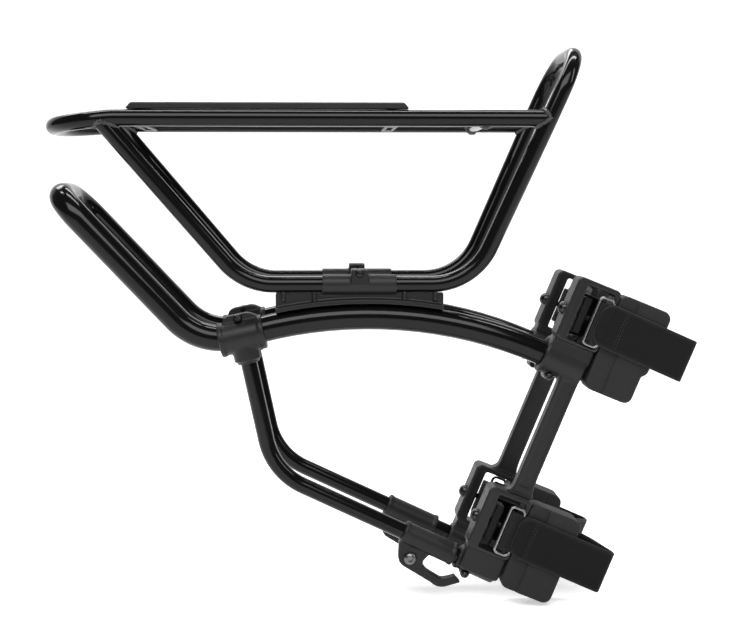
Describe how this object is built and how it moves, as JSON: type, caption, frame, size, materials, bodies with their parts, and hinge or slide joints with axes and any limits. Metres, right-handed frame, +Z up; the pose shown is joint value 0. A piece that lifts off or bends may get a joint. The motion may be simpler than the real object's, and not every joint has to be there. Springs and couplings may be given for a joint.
{
  "type": "bicycle rear rack",
  "caption": "Tubular rear bicycle rack with a deck on an arched frame, held to the seatstays by strap clamps.",
  "frame": {"origin": "in the middle plane, on the line of the seatstays, halfway between the upper and the lower strap clamps", "axes": "+X forward towards the seatstays, +Z up, +Y across the bicycle; the near side of the picture is -Y"},
  "size_m": [0.5494, 0.1234, 0.4754],
  "materials": {
    "gloss_black_paint": "gloss powder coat",
    "black_plastic": "fine satin moulding",
    "black_steel": "black zinc",
    "bright_steel": "plated",
    "grey_rubber": "matte moulded",
    "black_webbing": "woven hook-and-loop"
  },
  "bodies": {
    "frame": {"main_tube": "gloss_black_paint", "lower_strut_near": "gloss_black_paint", "lower_strut_far": "gloss_black_paint", "collar_outer_near": "black_plastic", "collar_outer_far": "black_plastic", "collar_inner_near": "black_plastic", "collar_inner_far": "black_plastic", "collar_bolt_near": "black_steel", "collar_bolt_far": "black_steel", "side_bracket_near": "black_plastic", "side_bracket_far": "black_plastic", "pinch_bolt_upper_near": "black_steel", "pinch_bolt_upper_far": "black_steel", "pinch_bolt_lower_near": "black_steel", "pinch_bolt_lower_far": "black_steel", "stay_pad_upper_near": "grey_rubber", "stay_pad_upper_far": "grey_rubber", "stay_pad_lower_near": "grey_rubber", "stay_pad_lower_far": "grey_rubber"},
    "deck": {"rail_loop": "gloss_black_paint", "front_hoop": "gloss_black_paint", "rear_leg_near": "gloss_black_paint", "rear_leg_far": "gloss_black_paint", "cross_bar": "gloss_black_paint", "bag_plate": "black_plastic", "plate_clamp_rear": "black_plastic", "plate_clamp_front": "black_plastic", "plate_screw_rear_near": "black_steel", "plate_screw_rear_far": "black_steel", "plate_screw_front_near": "black_steel", "plate_screw_front_far": "black_steel", "saddle_near": "black_plastic", "saddle_far": "black_plastic", "saddle_screw_near": "black_steel", "saddle_screw_far": "black_steel"},
    "strap_set_upper_near": {"strap_carriage_upper_near": "black_plastic", "buckle_ring_upper_near": "bright_steel", "hook_strip_upper_near": "black_webbing", "strap_upper_near": "black_webbing"},
    "screw_upper_near": {"tension_screw_upper_near": "bright_steel"},
    "strap_set_upper_far": {"strap_carriage_upper_far": "black_plastic", "buckle_ring_upper_far": "bright_steel", "hook_strip_upper_far": "black_webbing", "strap_upper_far": "black_webbing"},
    "screw_upper_far": {"tension_screw_upper_far": "bright_steel"},
    "strap_set_lower_near": {"strap_carriage_lower_near": "black_plastic", "buckle_ring_lower_near": "bright_steel", "hook_strip_lower_near": "black_webbing", "strap_lower_near": "black_webbing"},
    "screw_lower_near": {"tension_screw_lower_near": "bright_steel"},
    "strap_set_lower_far": {"strap_carriage_lower_far": "black_plastic", "buckle_ring_lower_far": "bright_steel", "hook_strip_lower_far": "black_webbing", "strap_lower_far": "black_webbing"},
    "screw_lower_far": {"tension_screw_lower_far": "bright_steel"},
    "clip_near": {"hook_clip_near": "black_plastic", "clip_bolt_near": "bright_steel"},
    "clip_far": {"hook_clip_far": "black_plastic", "clip_bolt_far": "bright_steel"}
  },
  "joints": [
    {"name": "deck_level", "type": "hinge", "parent": "frame", "child": "deck", "pos_m": [-0.2135, 0, -0.2465], "axis": [0, 1, 0], "range_deg": [-0.8, 4]},
    {"name": "strap_pull_upper_near", "type": "slide", "parent": "frame", "child": "strap_set_upper_near", "axis": [-0.9252, 0, 0.3795], "range_m": [-0.004, 0.0025]},
    {"name": "screw_turn_upper_near", "type": "hinge", "parent": "frame", "child": "screw_upper_near", "pos_m": [-0.04618, -0.0445, 0.13513], "axis": [0.9252, 0, -0.3795], "range_deg": [-1445, 905]},
    {"name": "strap_pull_upper_far", "type": "slide", "parent": "frame", "child": "strap_set_upper_far", "axis": [-0.9252, 0, 0.3795], "range_m": [-0.004, 0.0025]},
    {"name": "screw_turn_upper_far", "type": "hinge", "parent": "frame", "child": "screw_upper_far", "pos_m": [-0.04618, 0.0445, 0.13513], "axis": [0.9252, 0, -0.3795], "range_deg": [-1445, 905]},
    {"name": "strap_pull_lower_near", "type": "slide", "parent": "frame", "child": "strap_set_lower_near", "axis": [-0.9252, 0, 0.3795], "range_m": [-0.004, 0.0025]},
    {"name": "screw_turn_lower_near", "type": "hinge", "parent": "frame", "child": "screw_lower_near", "pos_m": [-0.11945, -0.0445, -0.04353], "axis": [0.9252, 0, -0.3795], "range_deg": [-1445, 905]},
    {"name": "strap_pull_lower_far", "type": "slide", "parent": "frame", "child": "strap_set_lower_far", "axis": [-0.9252, 0, 0.3795], "range_m": [-0.004, 0.0025]},
    {"name": "screw_turn_lower_far", "type": "hinge", "parent": "frame", "child": "screw_lower_far", "pos_m": [-0.11945, 0.0445, -0.04353], "axis": [0.9252, 0, -0.3795], "range_deg": [-1445, 905]},
    {"name": "clip_slide_near", "type": "slide", "parent": "frame", "child": "clip_near", "axis": [0.9041, 0, -0.4274], "range_m": [-0.09, 0.002]},
    {"name": "clip_slide_far", "type": "slide", "parent": "frame", "child": "clip_far", "axis": [0.9041, 0, -0.4274], "range_m": [-0.08, 0.013]}
  ],
  "couplings": [
    {"joint": "screw_turn_upper_near", "follows": "strap_pull_upper_near", "rad_per_m": 6283.2},
    {"joint": "screw_turn_upper_far", "follows": "strap_pull_upper_far", "rad_per_m": 6283.2},
    {"joint": "screw_turn_lower_near", "follows": "strap_pull_lower_near", "rad_per_m": 6283.2},
    {"joint": "screw_turn_lower_far", "follows": "strap_pull_lower_far", "rad_per_m": 6283.2}
  ]
}
